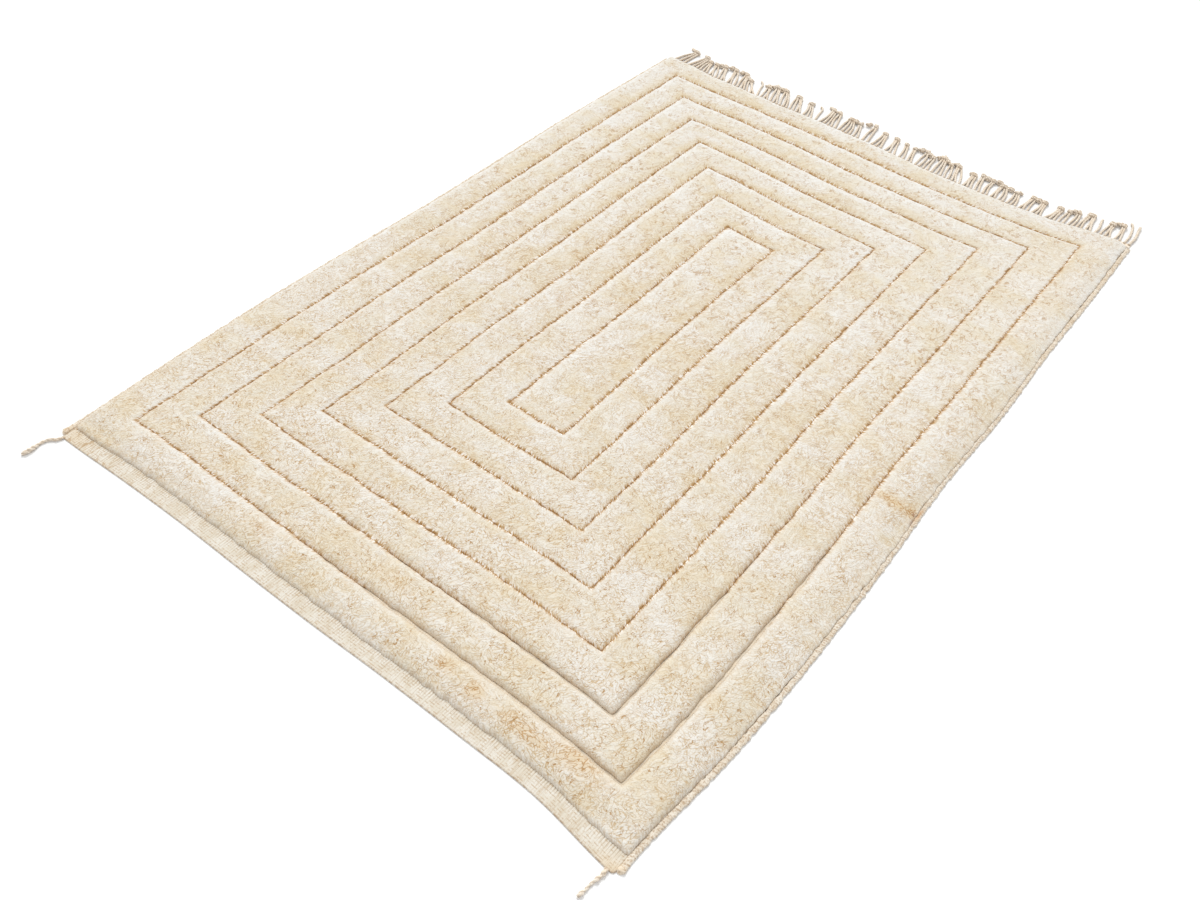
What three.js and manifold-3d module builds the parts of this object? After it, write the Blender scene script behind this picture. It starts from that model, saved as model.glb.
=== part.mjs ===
// A hand-knotted wool rug that lies flat. Low grooves divide its pile into plump bands, one inside the other.
// Millimetres, +Z up. X runs across the rug and Y along it, from the flat-woven end to the fringe.
// The origin is on the underside, in the middle of the pile.
import * as THREE from 'three';
import Module from 'manifold-3d';

// Heights above the floor
const HEM_THICK = 4;
const GROOVE_HEIGHT = 7;
const PILE_HEIGHT = 27;
const LUMP = 1.1;

// Lengths of the pile's soft swells, and how far the long ones bend
const SWELL = { across: 41, along: 53, slant: 190, sway: 97, long: 67, bendLength: 83, bend: 1.7 };

// The stations of a table are spread evenly over these half lengths
const HALF_WIDTH = 950;
const HALF_LENGTH = 1420;

// Segments along the short and the long sides of each loop of points
const SHORT_SEGMENTS = 13;
const LONG_SEGMENTS = 19;

// Corner radii of the flat-woven end, the foot of the pile and the grooves
const HEM_TURN = 9;
const FOOT_TURN = 26;
const GROOVE_TURN = 14;

// Between neighbouring pieces
const GAP = 0.3;

// Selvedges: warps bound with yarn
const SELVEDGE_WIDTH = 16;
const SELVEDGE_THICK = 6;
const SELVEDGE_STEPS = 3;
const SELVEDGE_SWAY = 0.09;
const SWAY_SPEED = 17;
const SWAY_ROW = 300;
const STUB_SWELL = 0.7;

// Fringe: a narrow heading with strands in knotted bunches
const HEADING_DEPTH = 22;
const HEADING_THICK = 4;
const HEADING_OVERHANG = 14;
const STRAND_PITCH = 15;
const KNOT_PITCH = 7.6;
const ROOT_DEPTH = 6;
const KNOT_SHARE = 0.62;
const STRAND_TOP = 0.67;
const OUTER_STRAND_CUT = 0.05;

// Corner tails: two twisted plies
const TAIL_RADIUS = 5;
const TAIL_SIDES = 8;
const TAIL_STEPS = 26;
const TAIL_LAY = 46;
const TAIL_GROOVE = 0.2;
const TAIL_KNOT_SWELL = 0.35;
const TAIL_KNOT_LENGTH = 9;

// Where the edges lie at nine stations: left, right, near and far are the foot of the pile,
// and hem is the edge of the flat-woven end.
const EDGES = [
  { left: -977, right: 954, near: -1419, far: 1412, hem: -1462 },
  { left: -990, right: 985, near: -1402, far: 1398, hem: -1452 },
  { left: -997, right: 994, near: -1398, far: 1397, hem: -1446 },
  { left: -991, right: 991, near: -1397, far: 1400, hem: -1446 },
  { left: -981, right: 981, near: -1397, far: 1397, hem: -1444 },
  { left: -982, right: 990, near: -1396, far: 1384, hem: -1438 },
  { left: -984, right: 983, near: -1391, far: 1388, hem: -1437 },
  { left: -977, right: 985, near: -1395, far: 1404, hem: -1439 },
  { left: -969, right: 982, near: -1419, far: 1452, hem: -1468 },
];

// How far the grooves swerve at the same stations
const DRIFT = [
  { left: -2, right: -3, near: -1, far: 0 },
  { left: 3, right: 8, near: 0, far: 1 },
  { left: 2, right: 6, near: -4, far: 10 },
  { left: -3, right: 4, near: 0, far: 7 },
  { left: 2, right: -5, near: 1, far: -7 },
  { left: -2, right: -4, near: 6, far: -8 },
  { left: -4, right: -3, near: 2, far: -9 },
  { left: 1, right: -3, near: -1, far: 5 },
  { left: 2, right: 0, near: -2, far: 2 },
];

// The grooves' middle lines, from the outermost to the one around the centre panel. floor is the groove's
// width at its bottom, and bend is the share of the edges' own bends that the groove follows.
const GROOVES = [
  { left: -874, right: 857, near: -1290, far: 1297, floor: 14, bend: 0.6 },
  { left: -750, right: 721, near: -1175, far: 1180, floor: 12, bend: 0.3 },
  { left: -625, right: 590, near: -1058, far: 1060, floor: 10, bend: 0 },
  { left: -503, right: 460, near: -934, far: 940, floor: 9, bend: 0 },
  { left: -384, right: 326, near: -807, far: 821, floor: 9, bend: 0 },
  { left: -255, right: 194, near: -684, far: 700, floor: 8, bend: 0 },
  { left: -124, right: 68, near: -566, far: 577, floor: 8, bend: 0 },
];

// A band's profile from the edge of a groove's floor: rise is a share of the pile above that floor
const SHOULDER = [
  { inset: 0, rise: 0 },
  { inset: 7, rise: 0.7 },
  { inset: 27, rise: 0.97 },
];

// The outer wall of the pile, a little inside the edge of the ground
const WALL = [
  { inset: 3.5, height: 4.5 },
  { inset: 3, height: 11 },
  { inset: 7, height: 20 },
  { inset: 20, height: 26 },
];

// The fringe's bunches from left to right. at is the middle of the roots, knot and tip are how far
// the strands lean by then, and reach is the strands' length beyond the heading.
const BUNCHES = [
  { at: -928, strands: 3, knot: 16, tip: -18, reach: 119 },
  { at: -864, strands: 3, knot: 11, tip: -2, reach: 113 },
  { at: -807, strands: 3, knot: -16, tip: -18, reach: 92 },
  { at: -759, strands: 3, knot: -34, tip: -43, reach: 97 },
  { at: -716, strands: 3, knot: -38, tip: -49, reach: 111 },
  { at: -671, strands: 3, knot: -35, tip: -50, reach: 120 },
  { at: -619, strands: 3, knot: -34, tip: -54, reach: 121 },
  { at: -573, strands: 3, knot: -46, tip: -48, reach: 88 },
  { at: -540, strands: 1, knot: -29, tip: -50, reach: 104 },
  { at: -508, strands: 3, knot: -27, tip: -42, reach: 99 },
  { at: -464, strands: 3, knot: -40, tip: -58, reach: 125 },
  { at: -419, strands: 3, knot: -45, tip: -62, reach: 124 },
  { at: -366, strands: 4, knot: -35, tip: -42, reach: 114 },
  { at: -311, strands: 3, knot: -29, tip: -25, reach: 103 },
  { at: -272, strands: 1, knot: -16, tip: -30, reach: 102 },
  { at: -231, strands: 3, knot: -14, tip: -38, reach: 127 },
  { at: -190, strands: 2, knot: -26, tip: -38, reach: 122 },
  { at: -143, strands: 4, knot: -16, tip: -15, reach: 111 },
  { at: -94, strands: 2, knot: -24, tip: -20, reach: 109 },
  { at: -48, strands: 2, knot: -15, tip: -22, reach: 138 },
  { at: 0, strands: 3, knot: -9, tip: -15, reach: 115 },
  { at: 60, strands: 3, knot: -16, tip: -28, reach: 114 },
  { at: 115, strands: 2, knot: -24, tip: -33, reach: 107 },
  { at: 149, strands: 2, knot: -22, tip: -17, reach: 107 },
  { at: 180, strands: 2, knot: -5, tip: -8, reach: 124 },
  { at: 215, strands: 2, knot: -5, tip: -9, reach: 100 },
  { at: 264, strands: 3, knot: -20, tip: -30, reach: 136 },
  { at: 304, strands: 2, knot: -22, tip: -30, reach: 107 },
  { at: 343, strands: 3, knot: -32, tip: -48, reach: 117 },
  { at: 388, strands: 3, knot: -9, tip: -24, reach: 101 },
  { at: 427, strands: 2, knot: -19, tip: -29, reach: 121 },
  { at: 459, strands: 2, knot: -8, tip: -13, reach: 113 },
  { at: 505, strands: 4, knot: -9, tip: -8, reach: 102 },
  { at: 559, strands: 3, knot: -8, tip: 4, reach: 96 },
  { at: 606, strands: 3, knot: 6, tip: 3, reach: 104 },
  { at: 655, strands: 3, knot: -2, tip: 1, reach: 100 },
  { at: 703, strands: 3, knot: 12, tip: 3, reach: 102 },
  { at: 744, strands: 2, knot: 2, tip: -1, reach: 98 },
  { at: 776, strands: 2, knot: 0, tip: -12, reach: 111 },
  { at: 821, strands: 4, knot: -3, tip: -8, reach: 117 },
  { at: 862, strands: 1, knot: -5, tip: -3, reach: 96 },
  { at: 898, strands: 3, knot: -2, tip: -6, reach: 96 },
  { at: 939, strands: 2, knot: -7, tip: -9, reach: 109 },
  { at: 967, strands: 1, knot: -9, tip: -20, reach: 130 },
  { at: 984, strands: 1, knot: -3, tip: -4, reach: 125 },
];

// A strand's width and height from its root to its tip
const STRAND = {
  root: { width: 5, height: 3.6 },
  knot: { width: 6.4, height: 6.4 },
  tip: { width: 4, height: 4 },
};

// The corner tails' routes on the floor, from the flat-woven end outwards, and where their knots lie
const LEFT_TAIL = [
  { x: -969, y: -1462.2 },
  { x: -975, y: -1478 },
  { x: -990, y: -1492 },
  { x: -997, y: -1514 },
  { x: -994, y: -1538 },
  { x: -994, y: -1556 },
  { x: -999, y: -1572 },
];
const LEFT_TAIL_KNOTS = [96];
const RIGHT_TAIL = [
  { x: 936, y: -1468 },
  { x: 937, y: -1482 },
  { x: 934, y: -1498 },
  { x: 930, y: -1513 },
  { x: 929, y: -1528 },
  { x: 927, y: -1542 },
  { x: 925, y: -1553 },
];
const RIGHT_TAIL_KNOTS = [9, 30, 76];

// Materials from the photograph's colours
const pileWool = new THREE.MeshStandardMaterial({ color: 0xefe5d1, roughness: 0.95, metalness: 0 });
const edgeWool = new THREE.MeshStandardMaterial({ color: 0xe6d6bd, roughness: 0.95, metalness: 0 });
const warpYarn = new THREE.MeshStandardMaterial({ color: 0xd9c3a3, roughness: 0.9, metalness: 0 });

const wasm = await Module();
wasm.setup();

const rug = new THREE.Group();

function lerp(from, to, share) {
  return from + (to - from) * share;
}

// A table's column as a smooth line over its stations, with at from -1 to 1
function columnAt(table, column, at) {
  const last = table.length - 1;
  const place = THREE.MathUtils.clamp((at + 1) / 2, 0, 1) * last;
  const index = Math.min(Math.floor(place), last - 1);
  const value = (row) => table[THREE.MathUtils.clamp(row, 0, last)][column];
  const share = place - index;
  const leave = (value(index + 1) - value(index - 1)) / 2;
  const arrive = (value(index + 2) - value(index)) / 2;
  const s2 = share * share;
  const s3 = s2 * share;
  return (2 * s3 - 3 * s2 + 1) * value(index) + (s3 - 2 * s2 + share) * leave
    + (3 * s2 - 2 * s3) * value(index + 1) + (s3 - s2) * arrive;
}

function columnMean(column) {
  return EDGES.reduce((sum, row) => sum + row[column], 0) / EDGES.length;
}

const EDGE_MEAN = {
  left: columnMean('left'),
  right: columnMean('right'),
  near: columnMean('near'),
  far: columnMean('far'),
  hem: columnMean('hem'),
};

// Where a side of a loop lies at a distance along it. A loop has its four sides' mean places and a bend.
function sideAt(loop, side, distance) {
  const at = distance / (side === 'left' || side === 'right' ? HALF_LENGTH : HALF_WIDTH);
  const column = side === 'near' && loop.hem ? 'hem' : side;
  const edgeBend = columnAt(EDGES, column, at) - EDGE_MEAN[column];
  const grooveBend = columnAt(DRIFT, side, at);
  return loop[side] + loop.bend * edgeBend + (1 - loop.bend) * grooveBend;
}

// The loop moved inwards, towards the rug's middle
function inset(loop, distance, changes = {}) {
  return {
    ...loop,
    left: loop.left + distance,
    right: loop.right - distance,
    near: loop.near + distance,
    far: loop.far - distance,
    ...changes,
  };
}

// A soft unevenness of the pile, from -1 to 1: the mean of small swells and long slanting ones
function uneven(x, y) {
  const across = Math.sin(x / SWELL.across + Math.sin(y / SWELL.sway));
  const along = Math.cos(y / SWELL.along - x / SWELL.slant);
  const long = Math.sin(y / SWELL.long + SWELL.bend * Math.sin(x / SWELL.bendLength));
  return (across * along + long) / 2;
}

// The points of one loop, anticlockwise seen from above, from the near left corner. Each corner is an arc.
function loopPoints(loop) {
  const x0 = sideAt(loop, 'left', loop.near);
  const x1 = sideAt(loop, 'right', loop.near);
  const x2 = sideAt(loop, 'right', loop.far);
  const x3 = sideAt(loop, 'left', loop.far);
  const corners = [
    { x: x0, y: sideAt(loop, 'near', x0) },
    { x: x1, y: sideAt(loop, 'near', x1) },
    { x: x2, y: sideAt(loop, 'far', x2) },
    { x: x3, y: sideAt(loop, 'far', x3) },
  ];
  const sides = ['near', 'right', 'far', 'left'];
  const points = [];
  sides.forEach((side, index) => {
    const from = corners[index];
    const to = corners[(index + 1) % corners.length];
    const across = side === 'near' || side === 'far';
    const axis = across ? 'x' : 'y';
    const sign = Math.sign(to[axis] - from[axis]);
    const start = from[axis] + sign * loop.turn;
    const end = to[axis] - sign * loop.turn;
    const segments = across ? SHORT_SEGMENTS : LONG_SEGMENTS;
    for (let step = 0; step <= segments; step += 1) {
      const along = lerp(start, end, step / segments);
      const place = sideAt(loop, side, along);
      points.push(across ? [along, place] : [place, along]);
    }
    // The middle of the next corner's arc
    const cut = loop.turn * (1 - Math.SQRT1_2);
    points.push([to.x - Math.sign(to.x) * cut, to.y - Math.sign(to.y) * cut]);
  });
  return points.map(([x, y]) => [x, y, loop.height + (loop.lump || 0) * uneven(x, y)]);
}

// A closed surface over a stack of loops with equally many points, from the underside to the top
function skinOver(loops) {
  const count = loops[0].length;
  const positions = loops.flat(2);
  const triangles = [];
  for (let k = 0; k + 1 < loops.length; k += 1) {
    for (let i = 0; i < count; i += 1) {
      const a = k * count + i;
      const b = k * count + ((i + 1) % count);
      triangles.push(a, b, b + count, a, b + count, a + count);
    }
  }
  const cap = (loop) => THREE.ShapeUtils.triangulateShape(loop.map(([x, y]) => new THREE.Vector2(x, y)), []);
  cap(loops[0]).forEach(([a, b, c]) => triangles.push(a, c, b));
  const top = (loops.length - 1) * count;
  cap(loops[loops.length - 1]).forEach(([a, b, c]) => triangles.push(top + a, top + b, top + c));
  return surface(positions, triangles);
}

function surface(positions, triangles) {
  const geometry = new THREE.BufferGeometry();
  geometry.setAttribute('position', new THREE.Float32BufferAttribute(positions, 3));
  geometry.setIndex(triangles);
  return geometry;
}

// A closed surface through rings of points, one ring a step, with a flat face at each end
function sweep(rings) {
  const sides = rings[0].length;
  const positions = rings.flat(2);
  const triangles = [];
  for (let k = 0; k + 1 < rings.length; k += 1) {
    for (let i = 0; i < sides; i += 1) {
      const a = k * sides + i;
      const b = k * sides + ((i + 1) % sides);
      triangles.push(a, b, b + sides, a, b + sides, a + sides);
    }
  }
  const end = (rings.length - 1) * sides;
  for (let i = 1; i + 1 < sides; i += 1) {
    triangles.push(0, i + 1, i);
    triangles.push(end, end + i, end + i + 1);
  }
  return surface(positions, triangles);
}

function addPiece(name, geometry, material) {
  geometry.computeVertexNormals();
  const mesh = new THREE.Mesh(geometry, material);
  mesh.name = name;
  rug.add(mesh);
}

// The foot of the pile, and the same outline with the flat-woven end
const FOOT = { ...EDGE_MEAN, hem: false, bend: 1, turn: FOOT_TURN, height: HEM_THICK };
const HEM = { ...FOOT, near: EDGE_MEAN.hem, hem: true, turn: HEM_TURN };

// The rug itself: ground, pile and flat-woven end are one piece
function wovenRugLoops() {
  const pile = PILE_HEIGHT - GROOVE_HEIGHT;
  const loops = [{ ...HEM, height: 0 }, HEM];
  WALL.forEach((row) => loops.push(inset(FOOT, row.inset, { height: row.height, lump: LUMP })));
  GROOVES.forEach((groove) => {
    const half = groove.floor / 2;
    const middle = { ...groove, turn: GROOVE_TURN };
    [...SHOULDER].reverse().forEach((row) => loops.push(inset(middle, -half - row.inset, {
      height: GROOVE_HEIGHT + row.rise * pile,
      lump: row.rise * LUMP,
    })));
    SHOULDER.forEach((row) => loops.push(inset(middle, half + row.inset, {
      height: GROOVE_HEIGHT + row.rise * pile,
      lump: row.rise * LUMP,
    })));
  });
  return loops.map(loopPoints);
}

function makeWovenRug(loops) {
  addPiece('woven_rug', skinOver(loops), pileWool);
}

// The points of the outline's side between two corner arcs
function outlineSide(outline, side) {
  const starts = {
    near: 0,
    right: SHORT_SEGMENTS + 2,
    far: SHORT_SEGMENTS + LONG_SEGMENTS + 4,
    left: 2 * SHORT_SEGMENTS + LONG_SEGMENTS + 6,
  };
  const segments = side === 'near' || side === 'far' ? SHORT_SEGMENTS : LONG_SEGMENTS;
  return outline.slice(starts[side], starts[side] + segments + 1);
}

// A selvedge lies along one long side, sign -1 on the left and 1 on the right. stub swells its near end.
function makeSelvedge(name, outline, sign, stub) {
  const side = outlineSide(outline, sign < 0 ? 'left' : 'right');
  const wall = sign < 0 ? [...side].reverse() : side;
  const rings = [];
  for (let k = 0; k + 1 < wall.length; k += 1) {
    const steps = k + 2 === wall.length ? SELVEDGE_STEPS + 1 : SELVEDGE_STEPS;
    for (let step = 0; step < steps; step += 1) {
      const share = step / SELVEDGE_STEPS;
      const x = lerp(wall[k][0], wall[k + 1][0], share) + sign * GAP;
      const y = lerp(wall[k][1], wall[k + 1][1], share);
      const sway = 1 + SELVEDGE_SWAY * uneven(SWAY_SPEED * y, sign * SWAY_ROW);
      const swell = stub && k === 0 && step === 0 ? 1 + STUB_SWELL : 1;
      rings.push(selvedgeRing(x, y, sign, SELVEDGE_WIDTH * sway, SELVEDGE_THICK * sway * swell));
    }
  }
  addPiece(name, sweep(sign < 0 ? rings : rings.reverse()), edgeWool);
}

function selvedgeRing(x, y, sign, width, thick) {
  const section = [
    { out: 0, up: 0 },
    { out: 0.9, up: 0 },
    { out: 1, up: 0.45 },
    { out: 0.78, up: 0.95 },
    { out: 0.3, up: 1 },
    { out: 0, up: 0.7 },
  ];
  return section.map(({ out, up }) => [x + sign * out * width, y, up * thick]);
}

// One strand of the fringe, of four sides and level on the floor
function strandSolid(route) {
  const rings = route.map(({ x, y, width, height }) => [
    [x - width / 2, y, 0],
    [x - (STRAND_TOP * width) / 2, y, height],
    [x + (STRAND_TOP * width) / 2, y, height],
    [x + width / 2, y, 0],
  ]);
  return solidOf(sweep(rings));
}

function solidOf(geometry) {
  return new wasm.Manifold(new wasm.Mesh({
    numProp: 3,
    vertProperties: new Float32Array(geometry.attributes.position.array),
    triVerts: new Uint32Array(geometry.index.array),
  }));
}

function geometryOf(solid) {
  const mesh = solid.getMesh();
  return surface(Array.from(mesh.vertProperties), Array.from(mesh.triVerts));
}

// The heading follows the far wall of the pile
function makeFringe(outline) {
  const wall = outlineSide(outline, 'far').reverse();
  const [leftEnd, rightEnd] = [wall[0], wall[wall.length - 1]];
  wall.unshift([leftEnd[0] - HEADING_OVERHANG, leftEnd[1]]);
  wall.push([rightEnd[0] + HEADING_OVERHANG, rightEnd[1]]);
  const heading = sweep(wall.map(([x, y]) => [
    [x, y + GAP, 0],
    [x, y + GAP + HEADING_DEPTH, 0],
    [x, y + GAP + HEADING_DEPTH, HEADING_THICK],
    [x, y + GAP, HEADING_THICK],
  ]));
  const strands = [];
  BUNCHES.forEach((bunch) => {
    for (let n = 0; n < bunch.strands; n += 1) {
      const place = n - (bunch.strands - 1) / 2;
      const rootX = bunch.at + place * STRAND_PITCH;
      const edge = sideAt(FOOT, 'far', rootX) + GAP + HEADING_DEPTH;
      const knotX = bunch.at + bunch.knot + place * KNOT_PITCH;
      const tipX = bunch.at + bunch.tip + place * KNOT_PITCH;
      const reach = bunch.reach * (1 - OUTER_STRAND_CUT * Math.abs(place));
      strands.push(strandSolid([
        { x: rootX, y: edge - ROOT_DEPTH, ...STRAND.root },
        { x: knotX, y: edge + reach * KNOT_SHARE, ...STRAND.knot },
        { x: tipX, y: edge + reach, ...STRAND.tip },
      ]));
    }
  });
  const joined = strands.reduce((sum, strand) => sum.add(strand), solidOf(heading));
  addPiece('fringe', geometryOf(joined), warpYarn);
}

// A twisted tail of two plies along its route, with knots at the given lengths
function makeTail(name, route, knots) {
  const line = new THREE.CatmullRomCurve3(route.map(({ x, y }) => new THREE.Vector3(x, y, 0)));
  const length = line.getLength();
  const rings = [];
  for (let step = 0; step <= TAIL_STEPS; step += 1) {
    const share = step / TAIL_STEPS;
    const along = share * length;
    const centre = line.getPointAt(share);
    const ahead = line.getTangentAt(share);
    const aside = new THREE.Vector3(-ahead.y, ahead.x, 0);
    const swell = knots.reduce(
      (sum, knot) => sum + TAIL_KNOT_SWELL * Math.exp(-(((along - knot) / TAIL_KNOT_LENGTH) ** 2)), 1);
    const ring = [];
    for (let i = 0; i < TAIL_SIDES; i += 1) {
      const angle = (i / TAIL_SIDES) * 2 * Math.PI;
      const ply = 1 - TAIL_GROOVE * (0.5 - 0.5 * Math.cos(2 * (angle - (along / TAIL_LAY) * Math.PI)));
      const radius = TAIL_RADIUS * swell * ply;
      const side = Math.cos(angle) * radius;
      ring.push([centre.x + aside.x * side, centre.y + aside.y * side, Math.sin(angle) * radius]);
    }
    const lowest = Math.min(...ring.map((point) => point[2]));
    rings.push(ring.map(([x, y, z]) => [x, y, z - lowest]));
  }
  addPiece(name, sweep(rings), warpYarn);
}

const loops = wovenRugLoops();
const outline = loops[0];
makeWovenRug(loops);
makeSelvedge('selvedge_left', outline, -1, false);
makeSelvedge('selvedge_right', outline, 1, true);
makeFringe(outline);
makeTail('tail_left', LEFT_TAIL, LEFT_TAIL_KNOTS);
makeTail('tail_right', RIGHT_TAIL, RIGHT_TAIL_KNOTS);

export default rug;
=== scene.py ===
"""A hand-knotted wool rug lying flat: grooved bands of cut pile, a flat-woven end and a knotted fringe.

The shapes are worked out in millimetres in the rug's own frame and made into meshes in metres. X runs across
the rug, Y runs from the flat-woven end to the fringe, and the floor is at z = 0.
"""
import math

import bpy
import numpy as np
from mathutils import Matrix, Vector

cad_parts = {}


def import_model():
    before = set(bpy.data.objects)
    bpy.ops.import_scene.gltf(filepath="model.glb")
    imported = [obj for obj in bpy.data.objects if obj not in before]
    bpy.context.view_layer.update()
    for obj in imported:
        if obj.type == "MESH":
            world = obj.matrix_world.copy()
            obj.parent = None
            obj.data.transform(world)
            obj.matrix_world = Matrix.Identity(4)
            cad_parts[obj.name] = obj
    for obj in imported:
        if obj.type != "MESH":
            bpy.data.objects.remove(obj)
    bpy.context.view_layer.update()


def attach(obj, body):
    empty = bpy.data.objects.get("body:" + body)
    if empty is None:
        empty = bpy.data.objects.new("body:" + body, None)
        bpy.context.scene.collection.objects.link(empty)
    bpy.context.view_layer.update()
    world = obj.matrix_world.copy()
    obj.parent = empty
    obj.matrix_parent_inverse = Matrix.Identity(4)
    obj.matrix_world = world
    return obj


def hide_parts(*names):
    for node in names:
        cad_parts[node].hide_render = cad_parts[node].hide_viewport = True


METRES = 0.001

# Heights above the floor
HEM_TOP = 4.0
GROUND_TOP = 9.0
PILE_TOP = 24.5
OUTER_FOOT = 2.6

# How much lower the pile is at the near and right edges, and how far in that reaches
EDGE_WEAR = 9.0
WEAR_REACH = 34.0

# The stations of a table are spread evenly over these half lengths
HALF_WIDTH = 950.0
HALF_LENGTH = 1420.0

# Where the edges lie at nine stations: left, right, near and far are the foot of the pile, and hem is the
# edge of the flat-woven end
EDGES = {
    "left": (-977, -990, -997, -991, -981, -982, -984, -977, -969),
    "right": (954, 985, 994, 991, 981, 990, 983, 985, 982),
    "near": (-1419, -1402, -1398, -1397, -1397, -1396, -1391, -1395, -1419),
    "far": (1412, 1398, 1397, 1400, 1397, 1384, 1388, 1404, 1452),
    "hem": (-1462, -1452, -1446, -1446, -1444, -1438, -1437, -1439, -1468),
}

# How far the grooves swerve at the same stations
DRIFT = {
    "left": (-2, 3, 2, -3, 2, -2, -4, 1, 2),
    "right": (-3, 8, 6, 4, -5, -4, -3, -3, 0),
    "near": (-1, 0, -4, 0, 1, 6, 2, -1, -2),
    "far": (0, 1, 10, 7, -7, -8, -9, 5, 2),
}

# The grooves' middle lines from the outermost inwards, the width of each one's floor, and the share of the
# edges' own bends that it follows
GROOVES = (
    {"left": -862, "right": 858, "near": -1295, "far": 1293, "floor": 14, "bend": 0.6},
    {"left": -742, "right": 725, "near": -1176, "far": 1176, "floor": 12, "bend": 0.3},
    {"left": -620, "right": 593, "near": -1059, "far": 1058, "floor": 10, "bend": 0},
    {"left": -503, "right": 460, "near": -934, "far": 940, "floor": 9, "bend": 0},
    {"left": -384, "right": 326, "near": -807, "far": 821, "floor": 9, "bend": 0},
    {"left": -255, "right": 194, "near": -684, "far": 700, "floor": 8, "bend": 0},
    {"left": -124, "right": 68, "near": -566, "far": 577, "floor": 8, "bend": 0},
)

# Corner radii, and the steps round a corner
GROOVE_TURN = 5.0
FOOT_TURN = 12.0
HEM_TURN = 9.0
ARC_STEPS = 5

# The soft waves in the grooves: how far they swerve, a wave's length along and across its groove, and where
# in the noise the sideways and the lengthways waves are taken
GROOVE_WAVES = ((2.4, 260.0, 74.0, 0.0, 40.0), (1.7, 120.0, 27.0, 9.0, 21.0))

# How far each groove stands open near the near right corner, over what distance that fades, and how it
# changes on the way: how much, and in what cells
OPEN = (1.0, 0.85, 0.45, 0.3, 0.3, 0.25, 0.25)
OPEN_CORNER = (950.0, -1400.0)
OPEN_FADE = 1300.0
OPEN_CHANGE = (0.2, 90.0)

# Half the gap between two bands: where it is closed they touch, and where it is open it is the groove's
# floor divided by this
CLOSED_GAP = -0.2
OPEN_DIVISOR = 3.6

# How high the grooves' bottoms lie where they stand open and where they are almost closed
OPEN_BOTTOM = 10.0
CLOSED_BOTTOM = 18.5

# How ragged the feet of the walls are, as layers of noise: each has its height and the width of its cells
EDGE_NOTCH = (2.4, 19.0)
EDGE_WAVE = (2.2, 52.0)
GROOVE_NOTCH = (0.8, 19.0)
BOTTOM_NOTCH = (1.6, 23.0)

# The pile's wall from its foot up: how far each row stands inside the foot, and its share of the height
WALL = (
    (0.0, 0.0), (1.1, 0.12), (2.4, 0.27), (4.3, 0.44), (7.2, 0.6), (11.5, 0.75), (18.0, 0.88), (26.0, 0.955),
)
OUTER_WALL = (
    (0.8, 0.0), (0.2, 0.18), (1.0, 0.36), (2.8, 0.54), (5.6, 0.7), (9.6, 0.83), (15.0, 0.92), (22.0, 0.97),
)

# The step between the pile's points, and how pointed the crowns of the bands and of the centre panel are
PILE_STEP = 4.7
BAND_CROWN = 0.7
PANEL_CROWN = 0.4

# How far the pile bulges over the right selvedge, and where along the rug that begins
OVERHANG = 6.0
OVERHANG_FROM = -1150.0
OVERHANG_FADE = 600.0

# Layers of noise in the pile's height, the first with cells of its own width across and along
SWELL = 0.9
SWELL_CELL = (150.0, 120.0)
LUMP = (0.6, 46.0)

# Tufts: the patches between crevices, how wide and deep the crevices are and how their strength changes,
# layers of noise for their bends and for the tips, and how fast all this sets in above a foot
TUFT_CELL = 15.5
CREVICE_WIDTH = 0.11
CREVICE_DEPTH = 1.2
CREVICE_LEAST = 0.12
CREVICE_CHANGE = (0.45, 85.0)
TUFT_BEND = (5.0, 27.0)
KNOB = (0.7, 11.0)
TUFT_RISE = 4.0

# How much painted shade the foot of a wall takes in a groove and along the rug's own edges, and up to what
# share of the wall's height it reaches
CLOSED_DEPTH = 1.0
OPEN_DEPTH = 0.14
EDGE_DEPTH = 0.1
DEPTH_FADE = 0.8

# Painted light on the slopes: a slope that faces this way, away from the light, takes painted shade and
# shows the cut tips almost down to its foot, and one that faces the light takes a painted highlight and
# shows smooth wool
SHADED_SIDE = (0.45, -0.89)

# How far from the foot the cut tips show in full, and how far up the painted shade and the painted highlight
# reach
TIPS_FACING = 13.0
TIPS_BEHIND = 42.0
LEAN_REACH = 58.0
LEAN_FADE = 1.3

# Near the near right corner, a slope that faces away from the light takes only this share of its painted
# shade, and one that faces the light takes a little painted shade instead of its painted highlight. Both
# grow to their full strength over the distance that follows
SOFT_FACING = 0.3
SOFT_BEHIND = -0.4
SOFT_START = 500.0
SOFT_REACH = 1500.0

# How far from a groove its hairs reach, how strong the hairs and the painted highlight are on the outermost
# wall, and at what share of the wall's height the painted highlight ends
LASH_REACH = 14.0
EDGE_LASH = 0.28
EDGE_HIGHLIGHT = 0.5
EDGE_HIGHLIGHT_TOP = 0.95

# Warm stains in the wool: place, size across and along, and strength
STAINS = (
    (880, -167, 36, 18, 0.5), (935, -172, 42, 20, 0.8), (978, -166, 16, 20, 1.0),
    (343, -1329, 34, 24, 0.8), (443, -1337, 28, 26, 1.0),
    (742, -1319, 60, 30, 0.9), (79, -1232, 50, 26, 0.5), (573, -1340, 60, 24, 0.6),
    (640, -1345, 50, 20, 0.5), (-950, -1436, 60, 30, 0.6), (938, -1458, 40, 22, 0.7),
    (-300, -1330, 60, 30, 0.35), (900, 1050, 200, 420, 0.16),
)

# Small brown marks, listed in the same way
MARKS = ((980, -167, 4, 5, 1.0), (992, -150, 4, 22, 0.8), (988, -190, 4, 14, 0.6))

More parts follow.
